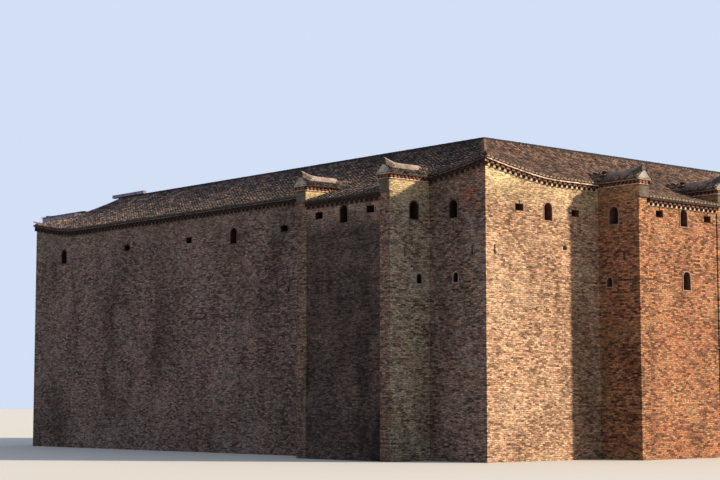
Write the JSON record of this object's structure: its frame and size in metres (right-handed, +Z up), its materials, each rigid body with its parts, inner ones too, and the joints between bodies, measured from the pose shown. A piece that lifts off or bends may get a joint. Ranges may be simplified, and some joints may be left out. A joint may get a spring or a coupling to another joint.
{
  "type": "hakka walled house, 1:2 scale model",
  "caption": "Fortified brick house: a storeyed ring of rooms round a courtyard, with gun towers on its sides, small high windows and hipped tile roofs (1:2 model).",
  "frame": {"origin": "on the ground, at the middle of the plan", "axes": "+Z up; +Y along the long sides, from the south side to the north side; +X from the west side to the east side"},
  "size_m": [18.68, 23.53, 8.2606],
  "materials": {
    "brickwork": "matte",
    "roof_tiles": "matte",
    "lime_plaster": "matte",
    "floor_boards": "matte"
  },
  "bodies": {
    "root": {"west_wall_first": "brickwork", "west_wall_second": "brickwork", "west_tower_front": "brickwork", "west_tower_gable_first": "brickwork", "west_tower_gable_second": "brickwork", "west_tower_roof": "roof_tiles", "west_court_wall": "brickwork", "west_outer_slope": "roof_tiles", "west_court_slope": "roof_tiles", "west_ridge": "lime_plaster", "north_west_hip": "lime_plaster", "north_wall_first": "brickwork", "north_wall_second": "brickwork", "north_tower_front": "brickwork", "north_tower_gable_first": "brickwork", "north_tower_gable_second": "brickwork", "north_tower_roof": "roof_tiles", "north_court_wall": "brickwork", "north_outer_slope": "roof_tiles", "north_court_slope": "roof_tiles", "north_ridge": "lime_plaster", "north_east_hip": "lime_plaster", "east_wall_first": "brickwork", "east_wall_second": "brickwork", "east_tower_front": "brickwork", "east_tower_gable_first": "brickwork", "east_tower_gable_second": "brickwork", "east_tower_roof": "roof_tiles", "east_court_wall": "brickwork", "east_outer_slope": "roof_tiles", "east_court_slope": "roof_tiles", "east_ridge": "lime_plaster", "south_east_hip": "lime_plaster", "south_wall_first": "brickwork", "south_wall_second": "brickwork", "south_tower_front": "brickwork", "south_tower_gable_first": "brickwork", "south_tower_gable_second": "brickwork", "south_tower_roof": "roof_tiles", "south_court_wall": "brickwork", "south_outer_slope": "roof_tiles", "south_court_slope": "roof_tiles", "south_ridge": "lime_plaster", "south_west_hip": "lime_plaster", "second_storey_floor": "floor_boards", "third_storey_floor": "floor_boards", "top_storey_floor": "floor_boards"}
  },
  "joints": []
}
